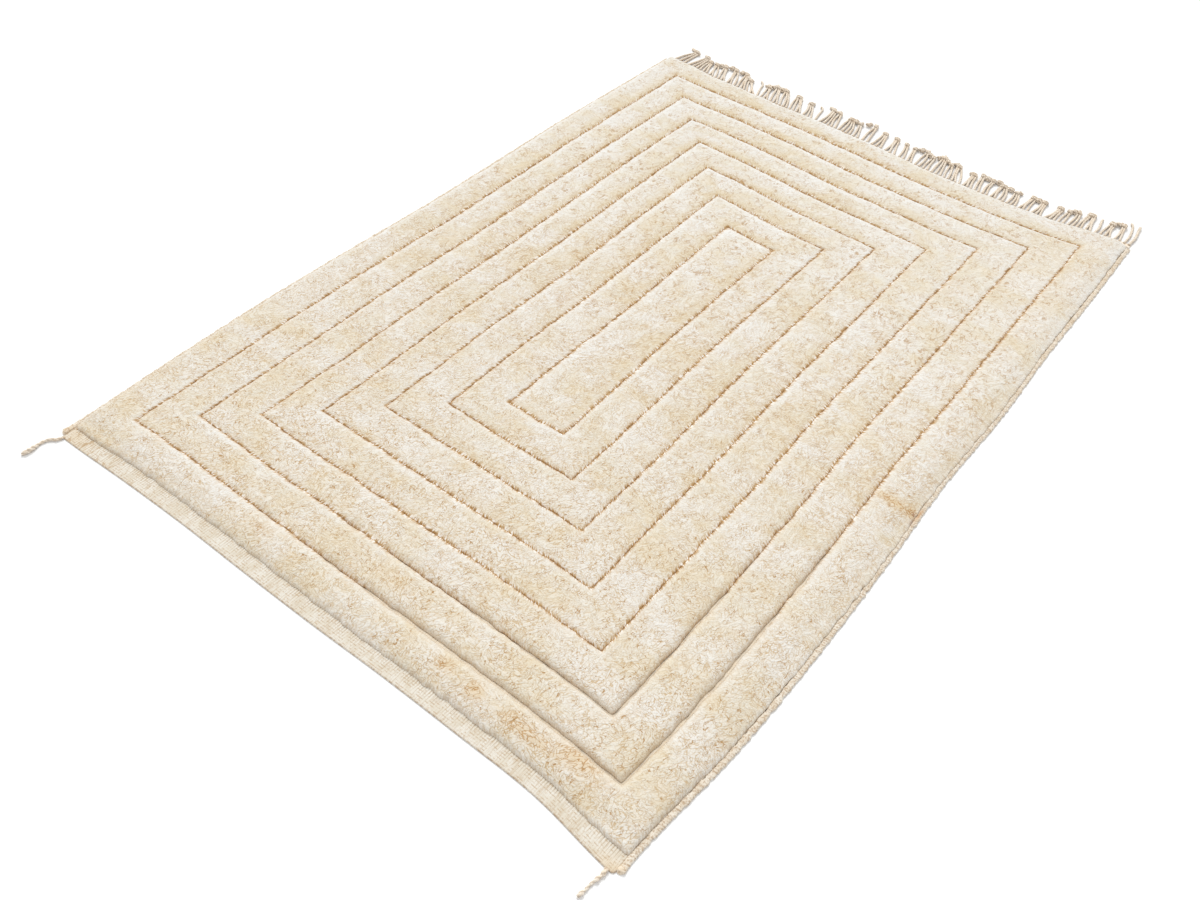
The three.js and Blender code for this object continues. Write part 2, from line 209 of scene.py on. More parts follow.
# The flat-woven end: its ribs, its rows of points from the edge, the rows beyond them, the bulge of its
# edge, and how the ground rises under the pile
RIB_STEP = 3.7
RIB_HEIGHT = 0.6
RIB_FADE = 3.0
WEAVE_SINK = 0.4
WEAVE_LUMP = (0.3, 30.0)
HEM_ROWS = (0.0, 2.0, 5.0, 10.0, 17.0, 25.0, 34.0, 43.0, 52.0, 62.0, 75.0)
GROUND_ROWS = 20
HEM_BULGE = 0.8
HEM_BULGE_HEIGHT = 0.45
UNDER_START = 4.0
UNDER_FADE = 16.0

# Selvedges: warps bound with yarn, with a round cap and a thicker stub at the near end. The wraps' roughness
# has its height, its length and where in the noise it is taken
GAP = 0.3
SELVEDGE_WIDTH = 16.0
SELVEDGE_THICK = 6.4
SELVEDGE_SIDES = 12
WRAP_PITCH = 7.4
WRAP_SLANT = 0.22
WRAP_SQUARE = 0.8
WRAP_ROUGH = ((0.22, 34.0, 3.0), (0.34, 13.0, 5.0))
STUB_LENGTH = 8.0
CAP_LENGTH = 6.0

# Fringe: the heading, the knots and their bridges, and the strands
HEADING_DEPTH = 22.0
HEADING_ENDS = (-966.0, 992.0)
HEADING_STEP = 3.0
HEADING_RIB = 0.35
HEADING_PROFILE = ((0.0, 0.0), (0.0, 3.4), (4.0, 4.0), (11.0, 3.6), (18.0, 3.8), (22.0, 2.4), (22.0, 0.0))
KNOT_PITCH = 7.5
TIP_PITCH = 6.0
KNOT_SHARE = 0.8
KNOT_TURNS = 2.3
KNOT_STEPS = 34
KNOT_REACH = 7.0
KNOT_MIDDLE = 8.5
KNOT_RISE = 4.0
KNOT_YARN = 4.2
KNOT_LAY = 18.0
BRIDGE_SPAN = 56.0
BRIDGE_CHANCE = 0.6
STRAND_RADIUS = 4.9
STRAND_ROOT = 8.0
STRAND_STEP = 4.4
STRAND_LAY = 15.0
STRAND_SIDES = 8

# The fringe's bunches from left to right: the middle of the roots, the number of strands, how far they lean
# by the knot and by the tips, and their length beyond the heading
BUNCHES = (
    (-928, 3, 16, -18, 119), (-864, 3, 11, -2, 113), (-807, 3, -16, -18, 92), (-759, 3, -34, -43, 97),
    (-716, 3, -38, -49, 111), (-671, 3, -35, -50, 120), (-619, 3, -34, -54, 121), (-573, 3, -46, -48, 88),
    (-540, 1, -29, -50, 104), (-508, 3, -27, -42, 99), (-464, 3, -40, -58, 125), (-419, 3, -45, -62, 124),
    (-366, 4, -35, -42, 114), (-311, 3, -29, -25, 103), (-272, 1, -16, -30, 102), (-231, 3, -14, -38, 127),
    (-190, 2, -26, -38, 122), (-143, 4, -16, -15, 111), (-94, 2, -24, -20, 109), (-48, 2, -15, -22, 138),
    (0, 3, -9, -15, 115), (60, 3, -16, -28, 114), (115, 2, -24, -33, 107), (149, 2, -22, -17, 107),
    (180, 2, -5, -8, 124), (215, 2, -5, -9, 100), (264, 3, -20, -30, 136), (304, 2, -22, -30, 107),
    (343, 3, -32, -48, 117), (388, 3, -9, -24, 101), (427, 2, -19, -29, 121), (459, 2, -8, -13, 113),
    (505, 4, -9, -8, 102), (559, 3, -8, 4, 96), (606, 3, 6, 3, 104), (655, 3, -2, 1, 100),
    (703, 3, 12, 3, 102), (744, 2, 2, -1, 98), (776, 2, 0, -12, 111), (821, 4, -3, -8, 117),
    (862, 1, -5, -3, 96), (898, 3, -2, -6, 96), (939, 2, -7, -9, 109), (967, 1, -9, -20, 130),
    (984, 1, -3, -4, 125),
)

# The plies of all twisted yarn, and how deep the groove between them is
PLIES = 2
PLY_GROOVE = 0.28

# The corner tails: their routes on the floor, how far along their knots lie, their thickness and their seed
TAILS = {
    "left": {
        "route": ((-969, -1462), (-975, -1478), (-990, -1492), (-997, -1514), (-994, -1538), (-994, -1556),
                  (-999, -1572)),
        "knots": (84, 97, 108),
        "radius": 4.5,
        "seed": 31,
    },
    "right": {
        "route": ((936, -1468), (937, -1482), (934, -1498), (930, -1513), (929, -1528), (927, -1542),
                  (925, -1553)),
        "knots": (2, 13, 30, 76),
        "radius": 3.7,
        "seed": 37,
    },
}
TAIL_STEP = 2.6
TAIL_LAY = 30.0
TAIL_SIDES = 12
TAIL_GROOVE = 0.26
TAIL_KNOT_SWELL = 0.55
TAIL_KNOT_LENGTH = 6.0
TAIL_UNEVEN = 0.06

# Random numbers: the size of a noise's table, and the seeds
NOISE_CELLS = 512
FIELD_SEEDS = (3, 5, 7, 11, 13, 17)
FRINGE_SEED = 23

# The colours of the wool and the yarns, as values in a picture from 0 to 255. base is the one under the rest
# The tan and brown colours of the slopes, the strokes, the gaps between the tufts, the crevices, the lines
# where the pile parts, the walls and the grooves are painted shade; the pale colours of the slopes and
# strokes are painted highlights
PILE_COLOURS = {
    "base": (230, 226, 219), "cream": (224, 216, 199), "warm": (224, 210, 184), "stain": (218, 188, 138),
    "shaded slope": (217, 196, 154), "highlit slope": (238, 238, 235), "shade between tufts": (206, 183, 147),
    "stroke shade": (195, 165, 121), "stain and stroke shade": (178, 126, 68), "stroke highlight": (250, 248, 243),
    "dash shade": (174, 132, 80), "crevice": (208, 172, 126), "parting_shade": (206, 172, 126),
    "wall": (228, 211, 182), "groove": (204, 158, 93), "pale hair": (253, 250, 244),
    "tan hair": (185, 147, 94), "groove shade spot": (166, 122, 66), "mark": (140, 88, 44),
}
# The valley colour is painted shade between the ribs, and the colour under the pile is partly dirt and
# partly painted shade
WEAVE_COLOURS = {
    "base": (230, 224, 212), "cream": (222, 213, 196), "stain": (228, 200, 156),
    "valley": (176, 154, 126), "streak": (186, 155, 114), "weft": (218, 202, 180),
    "fleck": (190, 162, 128), "edge": (184, 160, 134), "under pile dirt and shade": (238, 220, 194),
}
DIRT_COLOURS = {"stain": (232, 196, 144), "mark": (196, 146, 96)}
# The yarns' crease colours are painted shade in their creases and undersides, and also colour their specks
# and uneven fibres
SELVEDGE_COLOURS = {
    "base": (235, 226, 211), "dark": (223, 209, 188), "crease": (176, 146, 112), **DIRT_COLOURS,
}
WARP_COLOURS = {
    "base": (254, 242, 225), "dark": (248, 231, 209), "crease": (146, 118, 86), **DIRT_COLOURS,
}

# How strong the specks on the yarns are
SELVEDGE_SPECKS = 0.6
WARP_SPECKS = 0.12

# The camera, from the photograph's perspective
CAMERA_PLACE = (1.448, -2.342, 2.369)
CAMERA_LENS = 34.45
CAMERA_SENSOR = 36.0
CAMERA_TURN = -34.94
CAMERA_DOWN = 46.92
CAMERA_ROLL = 4.34

# The stage in metres: the floor's half size, how far it lies below the rug and its two shades, and the light
FLOOR_HALF = 14.0
FLOOR_DROP = 0.0002
FLOOR_SHADES = ((0.955, 0.955, 0.955, 1.0), (0.965, 0.965, 0.965, 1.0))
SKY_COLOUR = (0.99, 0.995, 1.0, 1.0)
SKY_STRENGTH = 0.76
KEY_PLACE = (-8.5, 9.0, 13.0)
KEY_SPREAD = 24.0
KEY_STRENGTH = 1.9
KEY_COLOUR = (0.96, 0.985, 0.99)


def lerp(low, high, share):
    """The value at a share of the way from low to high."""
    return low + (high - low) * share


def smooth(share):
    """Eases a share from 0 to 1."""
    share = np.clip(share, 0.0, 1.0)
    return share * share * (3.0 - 2.0 * share)


def bell(distance, width):
    """1 at no distance, fading to 0 beyond the width."""
    return np.exp(-((distance / width) ** 2))


def unit(vectors, axis=1):
    """The vectors made one long."""
    return vectors / (np.linalg.norm(vectors, axis=axis, keepdims=True) + 1e-9)


def spline(before, start, end, after, share):
    """A point at a share of the smooth line from start to end, between two more points of the line."""
    line = 2 * start + (end - before) * share
    line = line + (2 * before - 5 * start + 4 * end - after) * share**2
    return 0.5 * (line + (3 * start - before - 3 * end + after) * share**3)


def column_at(values, at):
    """A table's column as a smooth line over its stations, with at from -1 to 1."""
    last = len(values) - 1
    place = np.clip((np.asarray(at, float) + 1.0) / 2.0, 0.0, 1.0) * last
    index = np.minimum(np.floor(place).astype(int), last - 1)
    stations = (np.asarray(values, float)[np.clip(index + k, 0, last)] for k in (-1, 0, 1, 2))
    return spline(*stations, place - index)


EDGE_MEAN = {side: sum(places) / len(places) for side, places in EDGES.items()}

# The loops that follow the foot of the pile and the edge of the ground
FOOT = {**EDGE_MEAN, "bend": 1.0, "turn": FOOT_TURN}
HEM = {**FOOT, "near": EDGE_MEAN["hem"], "near_column": "hem", "turn": HEM_TURN}


def side_at(loop, side, distance):
    """Where a side of a loop lies at a distance along it."""
    half = HALF_LENGTH if side in ("left", "right") else HALF_WIDTH
    at = np.asarray(distance, float) / half
    column = loop.get("near_column", side) if side == "near" else side
    edge_bend = column_at(EDGES[column], at) - EDGE_MEAN[column]
    groove_bend = column_at(DRIFT[side], at)
    return loop[side] + loop["bend"] * edge_bend + (1.0 - loop["bend"]) * groove_bend


def inset(loop, distance):
    """The loop moved inwards, towards the rug's middle."""
    signs = {"left": 1, "right": -1, "near": 1, "far": -1}
    return {**loop, **{side: loop[side] + sign * distance for side, sign in signs.items()}}


def field(seed):
    """A smooth random function of two lengths, from about -1 to 1, with cells one unit wide. A number added
    to a length only takes another part of the field."""
    rng = np.random.default_rng(seed)
    order = rng.permutation(NOISE_CELLS)
    turn = rng.uniform(0.0, 2.0 * math.pi, NOISE_CELLS)

    def value(x, y):
        x, y = np.broadcast_arrays(np.asarray(x, float), np.asarray(y, float))
        col = np.floor(x).astype(int)
        row = np.floor(y).astype(int)
        u = x - col
        v = y - row

        def corner(right, up):
            cell = order[(order[(col + right) % NOISE_CELLS] + row + up) % NOISE_CELLS]
            return np.cos(turn[cell]) * (u - right) + np.sin(turn[cell]) * (v - up)

        low = lerp(corner(0, 0), corner(1, 0), smooth(u))
        high = lerp(corner(0, 1), corner(1, 1), smooth(u))
        return 1.6 * lerp(low, high, smooth(v))

    return value


swell, lumps, worms, bends, knobs, sway = (field(seed) for seed in FIELD_SEEDS)


def layer(noise, size, x, y, shift_x=0.0, shift_y=0.0):
    """A layer of noise, whose size is its height and the width of its cells."""
    height, cell = size
    return height * noise(x / cell + shift_x, y / cell + shift_y)


def corner_arc(start, corner, end):
    """The points of a quarter arc between two sides, without its ends."""
    t = np.linspace(0.0, 1.0, ARC_STEPS + 1)[1:-1, None]
    weight = math.sqrt(0.5)
    top = (1 - t) ** 2 * start + 2 * weight * t * (1 - t) * corner + t**2 * end
    return top / ((1 - t) ** 2 + 2 * weight * t * (1 - t) + t**2)


def ring_points(loop, counts):
    """One loop's points, anticlockwise from above from the near left corner, with counts steps a side."""
    meetings = (("left", "near"), ("right", "near"), ("right", "far"), ("left", "far"))
    x = [side_at(loop, side, loop[end]) for side, end in meetings]
    y = [side_at(loop, end, place) for (_, end), place in zip(meetings, x)]
    corners = np.array([x, y], float).T
    sides = []
    for index, side in enumerate(("near", "right", "far", "left")):
        start, end = corners[index], corners[(index + 1) % 4]
        axis = index % 2
        turn = math.copysign(loop["turn"], end[axis] - start[axis])
        along = np.linspace(start[axis] + turn, end[axis] - turn, counts[side] + 1)
        place = side_at(loop, side, along)
        sides.append(np.stack([place, along] if axis else [along, place], 1))
    points = []
    for index, side in enumerate(sides):
        following = (index + 1) % 4
        points += [side, corner_arc(side[-1], corners[following], sides[following][0])]
    return np.concatenate(points)


def side_counts(outer, inner):
    """The steps along each side of a band, the same on both of its edges."""
    counts = {}
    for side, start, end in (("near", "left", "right"), ("right", "near", "far")):
        mean = (outer[end] - outer[start] + inner[end] - inner[start]) / 2.0
        counts[side] = round((mean - outer["turn"] - inner["turn"]) / PILE_STEP)
    return {**counts, "far": counts["near"], "left": counts["right"]}


def groove_sway(points):
    """Moves a groove's lines sideways in soft waves, the same on both of its sides."""
    x, y = points[..., 0], points[..., 1]
    shift_x = shift_y = 0.0
    for size, along, across, at_x, at_y in GROOVE_WAVES:
        shift_x = shift_x + size * sway(x / along + at_x, y / across)
        shift_y = shift_y + size * sway(x / across + at_y, y / along)
    return points + np.stack([shift_x, shift_y], -1)


def from_corner(x, y):
    """The distance to the near right corner."""
    return np.hypot(x - OPEN_CORNER[0], y - OPEN_CORNER[1])


def tufts(x, y):
    """Height of the cut tufts and how deep a point lies in a crevice, from 0 to 1."""
    bent_x = x + layer(bends, TUFT_BEND, x, y)
    bent_y = y + layer(bends, TUFT_BEND, x, y, 50.0)
    ridge = worms(bent_x / TUFT_CELL, bent_y / TUFT_CELL)
    strength = 0.55 + layer(lumps, CREVICE_CHANGE, x, y, 3.0)
    crevice = bell(ridge, CREVICE_WIDTH) * np.clip(strength, CREVICE_LEAST, 1.0)
    return layer(knobs, KNOB, x, y) - CREVICE_DEPTH * crevice, crevice


def crown_height(x, y):
    """Height of the pile, which is worn thinner along the near edge and the right one."""
    from_edge = np.clip(np.minimum(FOOT["right"] - x, y - FOOT["near"]), 0.0, None)
    height = PILE_TOP - EDGE_WEAR * bell(from_edge, WEAR_REACH)
    height = height + SWELL * swell(x / SWELL_CELL[0], y / SWELL_CELL[1])
    return height + layer(lumps, LUMP, x, y)


def crown_rise(share, power):
    """The share of the height over a crown, at a share of the way from wall to wall."""
    shoulder = WALL[-1][1]
    return shoulder + (1.0 - shoulder) * np.sin(math.pi * share) ** power


def slope_shade(facing, x, y):
    """Painted shade on a slope that faces away from the light, and painted highlight, as a negative number,
    on one that faces it.
    """
    grown = smooth((from_corner(x, y) - SOFT_START) / SOFT_REACH)
    softness = lerp(np.where(facing > 0, SOFT_FACING, SOFT_BEHIND), 1.0, grown)
    return np.sign(facing) * np.sqrt(np.abs(facing)) * softness


def groove_state(points, groove):
    """Half the gap between the feet of the two bands beside a groove, how high the feet stand and how much
    painted shade they take. groove is the groove's number, or None along the rug's own edge."""
    x, y = points[..., 0], points[..., 1]
    if groove is None:
        gap = layer(knobs, EDGE_NOTCH, x, y) + layer(sway, EDGE_WAVE, x, y)
        return gap, np.full(x.shape, OUTER_FOOT), np.full(x.shape, EDGE_DEPTH)
    openness = OPEN[groove] * bell(from_corner(x, y), OPEN_FADE) + layer(knobs, OPEN_CHANGE, x, y, 7.0)
    openness = smooth((openness - 0.25) / 0.6)
    parted = smooth(2.0 * openness - 1.0)
    gap = lerp(CLOSED_GAP, GROOVES[groove]["floor"] / OPEN_DIVISOR, parted)
    gap = gap + layer(knobs, GROOVE_NOTCH, x, y) * parted
    bottom = lerp(CLOSED_BOTTOM, OPEN_BOTTOM, smooth(1.6 * openness))
    bottom = bottom + layer(knobs, BOTTOM_NOTCH, x, y, 0.0, 5.0)
    return np.maximum(gap, CLOSED_GAP), bottom, lerp(CLOSED_DEPTH, OPEN_DEPTH, openness)


def overhang(foot, inwards):
    """How far the pile bulges over the right selvedge, along its farther part."""
    farther = smooth((foot[:, 1] - OVERHANG_FROM) / OVERHANG_FADE)
    return (OVERHANG * farther * np.clip(-inwards[:, 0], 0.0, 1.0) ** 4)[:, None]


def overhang_share(rise):
    """The share of the bulge at a height on the wall."""
    return smooth((rise - 0.12) / 0.2) * (1.0 - smooth((rise - 0.45) / 0.55))


def spread(points, table):
    """How strongly the patches in a table cover each point, from 0 to 1."""
    total = np.zeros(len(points))
    for x, y, across, along, strength in table:
        total += strength * np.exp(-(((points[:, 0] - x) / across) ** 2 + ((points[:, 1] - y) / along) ** 2))
    return np.clip(total, 0.0, 1.0)


def show(name, data):
    """A new object in the scene."""
    made = bpy.data.objects.new(name, data)
    bpy.context.scene.collection.objects.link(made)
    return made


def make_mesh(name, points, faces, shares):
    """A mesh object from points in millimetres, with the shares that its material reads at each point."""
    points = np.asarray(points)
    mesh = bpy.data.meshes.new(name)
    mesh.from_pydata((points * METRES).tolist(), [], [list(face) for face in faces])
    for key, values in {**shares, "stain": spread(points, STAINS), "mark": spread(points, MARKS)}.items():
        kept = mesh.attributes.new(key, "FLOAT", "POINT")
        kept.data.foreach_set("value", np.asarray(values, np.float32))
    mesh.shade_smooth()
    return show(name, mesh)


def quad_faces(rows, columns, close_rows=False, close_columns=False):
    """The quads of a grid of points, row by row."""
    r = np.arange(rows if close_rows else rows - 1)[:, None]
    c = np.arange(columns if close_columns else columns - 1)[None, :]
    a = r * columns + c
    b = r * columns + (c + 1) % columns
    d = ((r + 1) % rows) * columns + c
    e = ((r + 1) % rows) * columns + (c + 1) % columns
    return np.stack(np.broadcast_arrays(a, b, e, d), -1).reshape(-1, 4).tolist()


def border(rows, columns):
    """The indices round a grid's edge, anticlockwise."""
    near = list(range(columns))
    right = [r * columns + columns - 1 for r in range(1, rows)]
    far = [(rows - 1) * columns + c for c in range(columns - 2, -1, -1)]
    left = [r * columns for r in range(rows - 2, 0, -1)]
    return near + right + far + left


def make_pile(name, grid, normal, faces, rise, depth, **shares):
    """A closed piece of pile from a grid of points, with its tufts raised along the normals."""
    height, crevice = tufts(grid[:, :, 0], grid[:, :, 1])
    lift = smooth(rise * TUFT_RISE)
    grid = grid + normal * (height * lift)[:, :, None]
    shares["rise"] = rise
    # Painted shade in the crevices between the tufts
    shares["crevice"] = crevice * lift
    # Painted shade at the foot of the walls, strongest where a groove is closed
    shares["deep"] = depth * (1.0 - smooth(rise / DEPTH_FADE))
    shares = {key: np.broadcast_to(values, grid.shape[:2]).ravel() for key, values in shares.items()}
    return make_mesh(name, grid.reshape(-1, 3), faces, shares)


def make_band(name, outer, inner, grooves):
    """A closed band of pile between the middle lines of two grooves, or between the edge and a groove."""
    counts = side_counts(outer, inner)
    out = groove_sway(ring_points(outer, counts))
    into = groove_sway(ring_points(inner, counts))
    step = into - out
    step /= np.linalg.norm(step, axis=1, keepdims=True)
    out_gap, out_foot, out_depth = groove_state(out, grooves[0])
    into_gap, into_foot, into_depth = groove_state(into, grooves[1])
    out = out + step * out_gap[:, None]
    into = into - step * into_gap[:, None]
    at_edge = grooves[0] is None
    out_wall = OUTER_WALL if at_edge else WALL
    bulge = overhang(out, step) if at_edge else 0.0

    # Each row's points, rise and distance from the foot: up the outer wall, over the crown and down again
    rows = [(out + step * (way - bulge * overhang_share(rise)), rise, way) for way, rise in out_wall]
    shoulder = WALL[-1][0]
    low = out + step * out_wall[-1][0]
    high = into - step * shoulder
    width = float(np.median(np.linalg.norm(into - out, axis=1)))
    crown = round((width - 2 * shoulder) / PILE_STEP)
    for share in np.arange(1, crown) / crown:
        from_foot = shoulder + min(share, 1 - share) * crown * PILE_STEP
        rows.append((lerp(low, high, share), crown_rise(share, BAND_CROWN), from_foot))
    rows += [(into - step * way, rise, way) for way, rise in reversed(WALL)]

    points = np.stack([row[0] for row in rows])
    rise, from_foot = np.array([row[1:] for row in rows]).T[:, :, None]
    x, y = points[:, :, 0], points[:, :, 1]
    outer_half = np.arange(len(rows))[:, None] < len(rows) // 2
    foot = np.where(outer_half, out_foot, into_foot)
    depth = np.where(outer_half, out_depth, into_depth)
    # Painted light on the slopes: lean is positive where a slope faces away from the light and takes painted
    # shade, and negative where it faces the light and takes a painted highlight
    inwards = step @ np.array(SHADED_SIDE)
    facing = np.where(outer_half, -inwards, inwards)
    tips = lerp(TIPS_BEHIND, TIPS_FACING, smooth(0.5 + 0.8 * facing))
    lean = slope_shade(facing, x, y) * np.clip(1.0 - from_foot / LEAN_REACH, 0.0, None) ** LEAN_FADE
    lash = depth
    # The outermost wall takes a painted highlight, strongest at its foot
    if at_edge:
        lean = lean - outer_half * EDGE_HIGHLIGHT * (1.0 - smooth(rise / EDGE_HIGHLIGHT_TOP))
        lash = np.where(outer_half, EDGE_LASH, depth)
    grid = np.dstack([points, foot + rise * (crown_height(x, y) - foot)])
    around = np.roll(grid, -1, 1) - np.roll(grid, 1, 1)
    across = np.roll(grid, -1, 0) - np.roll(grid, 1, 0)
    return make_pile(
        name,
        grid,
        unit(np.cross(around, across), 2),
        quad_faces(*x.shape, close_rows=True, close_columns=True),
        rise,
        depth,
        along=np.cumsum(np.linalg.norm(np.roll(out, -1, 0) - out, axis=1)) * METRES,
        top=smooth(from_foot / tips),
        lean=lean,
        lash=lash * (1.0 - smooth(from_foot / LASH_REACH)),
    )


def round_corners(x, y, radius):
    """Pulls the points near the four corners of a grid inside a round corner."""
    from_left, from_right = x - x[:, :1], x[:, -1:] - x
    from_near, from_far = y - y[:1], y[-1:] - y
    u = np.clip((radius - np.minimum(from_left, from_right)) / radius, 0.0, 1.0)
    v = np.clip((radius - np.minimum(from_near, from_far)) / radius, 0.0, 1.0)
    toward_x = np.where(from_left < from_right, radius, -radius)
    toward_y = np.where(from_near < from_far, radius, -radius)
    moved_x = x + toward_x * (u - u * np.sqrt(1 - v * v / 2))
    moved_y = y + toward_y * (v - v * np.sqrt(1 - u * u / 2))
    return moved_x, moved_y


def grid_inside(loop, share_x, share_y):
    """The points of a grid that fills a loop, at shares of the way across and along."""
    y = lerp(loop["near"], loop["far"], share_y)
    x = lerp(side_at(loop, "left", y), side_at(loop, "right", y), share_x)
    y = lerp(side_at(loop, "near", x), side_at(loop, "far", x), share_y)
    return round_corners(x, y, loop["turn"])


def panel_axis(length):
    """The centre panel's points along one axis: their shares of the way, rises, distances to the rim, and
    how far their slopes face outwards, for the painted shade and highlight on them."""
    wall, rise = np.array(WALL).T
    crown = round((length - 2 * wall[-1]) / PILE_STEP)
    middle = np.linspace(wall[-1], length - wall[-1], crown + 1)[1:-1]
    hump = crown_rise(np.linspace(0, 1, crown + 1)[1:-1], PANEL_CROWN)
    share = np.concatenate([wall, middle, (length - wall)[::-1]]) / length
    rim = np.minimum(share, 1 - share) * length
    lean = np.sign(share - 0.5) * np.clip(1.0 - rim / LEAN_REACH, 0.0, 1.0) ** LEAN_FADE
    return share, np.concatenate([rise, hump, rise[::-1]]), rim, lean


def make_panel(name, edge):
    """The centre panel of pile, a closed cushion inside the innermost groove."""
    share_x, rise_x, rim_x, lean_x = panel_axis(edge["right"] - edge["left"])
    share_y, rise_y, rim_y, lean_y = (values[:, None] for values in panel_axis(edge["far"] - edge["near"]))
    x, y = grid_inside(edge, share_x, share_y)
    flat = groove_sway(np.dstack([x, y]))
    _, bottom, depth = groove_state(flat, len(GROOVES) - 1)
    rise = rise_x * rise_y
    rim = np.minimum(rim_x, rim_y)
    grid = np.dstack([flat, bottom + rise * (crown_height(flat[:, :, 0], flat[:, :, 1]) - bottom)])
    return make_pile(
        name,
        grid,
        unit(np.cross(np.gradient(grid, axis=1), np.gradient(grid, axis=0)), 2),
        [*quad_faces(*x.shape), border(*x.shape)[::-1]],
        rise,
        depth,
        along=np.where(rise_x < rise_y, y, x) * METRES,
        top=smooth(rim / TIPS_BEHIND),
        # Painted shade and painted highlight on the slopes, as on the bands
        lean=slope_shade(SHADED_SIDE[0] * lean_x + SHADED_SIDE[1] * lean_y, x, y),
        lash=depth * (1.0 - smooth(rim / LASH_REACH)),
    )


def make_ground():
    """The woven ground under the pile, with its ribbed flat-woven end, as one closed cloth."""
    columns = round((HEM["right"] - HEM["left"]) / RIB_STEP) + 1
    length = HEM["far"] - HEM["near"]
    rest = np.linspace(HEM_ROWS[-1], length, GROUND_ROWS + 1)[1:]
    share_y = np.concatenate([HEM_ROWS, rest])[:, None] / length
    x, y = grid_inside(HEM, np.linspace(0.0, 1.0, columns), share_y)
    from_near = y - y[:1]
    rim = np.minimum.reduce([from_near, y[-1:] - y, x - x[:, :1], x[:, -1:] - x])
    under = smooth((y - side_at(FOOT, "near", x) - UNDER_START) / UNDER_FADE)
    under = under * smooth((rim - UNDER_START) / UNDER_FADE)
    rib = np.where(np.arange(columns) % 2 == 0, 1.0, -1.0)
    z = lerp(HEM_TOP, GROUND_TOP, under) - WEAVE_SINK
    z = z + RIB_HEIGHT * rib * (1 - under) * smooth(rim / RIB_FADE)
    z = z + layer(lumps, WEAVE_LUMP, x, y)
    top = np.dstack([x, y, z]).reshape(-1, 3)
    ring = border(*x.shape)
    side = top[ring]
    bottom = top[ring]
    around = np.roll(side, -1, 0) - np.roll(side, 1, 0)
    side[:, :2] += unit(np.stack([around[:, 1], -around[:, 0]], 1)) * HEM_BULGE
    side[:, 2] = HEM_TOP * HEM_BULGE_HEIGHT
    bottom[:, 2] = 0.0
    side_ring = [x.size + k for k in range(len(ring))]
    bottom_ring = [x.size + len(ring) + k for k in range(len(ring))]
    faces = quad_faces(*x.shape)
    for k in range(len(ring)):
        following = (k + 1) % len(ring)
        faces.append((side_ring[k], side_ring[following], ring[following], ring[k]))
        faces.append((bottom_ring[k], bottom_ring[following], side_ring[following], side_ring[k]))
    faces.append(bottom_ring[::-1])
    shares = {"rim": rim, "under": under, "rib": rib, "row": from_near * METRES}
    for key, values in shares.items():
        shares[key] = np.concatenate([np.broadcast_to(values, x.shape).ravel(), np.zeros(2 * len(ring))])
    return make_mesh("ground_cloth", np.concatenate([top, side, bottom]), faces, shares)


def tube(rings):
    """The points and faces of a closed tube, from an array of (steps, sides, 3) points."""
    steps, sides, _ = rings.shape
    faces = quad_faces(steps, sides, close_columns=True)
    faces.append(list(range(sides))[::-1])
    faces.append([(steps - 1) * sides + k for k in range(sides)])
    return rings.reshape(-1, 3), faces


def walked(path):
    """The distance walked along a path at each of its points."""
    return np.concatenate([[0.0], np.cumsum(np.linalg.norm(np.diff(path, axis=0), axis=1))])


def smooth_path(points, step):
    """A smooth line through the points, with a point about every step."""
    points = np.asarray(points, float)
    ends = np.concatenate([2 * points[:1] - points[1:2], points, 2 * points[-1:] - points[-2:-1]])
    lines = []
    for k in range(len(points) - 1):
        count = max(2, round(float(np.linalg.norm(points[k + 1] - points[k])) / step))
        lines.append(spline(*ends[k : k + 4], np.linspace(0, 1, count + 1)[:-1, None]))
    return np.concatenate([*lines, points[-1:]])


def twisted_tube(path, radius, lay, sides, groove=PLY_GROOVE, shade=1.0):
    """The points, faces and painted crease shade of twisted plies along a path: painted shade in the grooves
    between the plies and on the underside. radius is a number or one for each point, lay is the length of a
    full twist, and shade is how much painted shade the underside takes."""
    tangent = np.gradient(path, axis=0)
    tangent /= np.linalg.norm(tangent, axis=1, keepdims=True)
    aside = unit(np.cross((0.0, 0.0, 1.0), tangent))
    lift = np.cross(tangent, aside)
    along = walked(path)
    angle = np.linspace(0, 2 * math.pi, sides, endpoint=False)[None, :]
    twist = (along / lay * 2 * math.pi)[:, None]
    ply = 1 - groove * (0.5 - 0.5 * np.cos(PLIES * (angle - twist)))
    size = np.broadcast_to(np.asarray(radius, float), along.shape)[:, None] * ply
    rings = (
        path[:, None, :]
        + aside[:, None, :] * (np.cos(angle) * size)[:, :, None]
        + lift[:, None, :] * (np.sin(angle) * size)[:, :, None]
    )
    # Painted shade on the underside, and in the grooves between the plies
    under = shade * smooth((0.25 - np.sin(angle)) / 0.6)
    crease = np.maximum(0.6 * (ply < 1 - 0.6 * groove), under)
    return *tube(rings), crease.ravel()


def join_parts(name, parts):
    """One mesh from several parts, each with its points, faces and painted shade in its creases."""
    points, faces, creases = [], [], []
    start = 0
    for part_points, part_faces, crease in parts:
        points.append(part_points)
        faces.extend([[index + start for index in face] for face in part_faces])
        creases.append(crease)
        start += len(part_points)
    return make_mesh(name, np.concatenate(points), faces, {"crevice": np.concatenate(creases)})


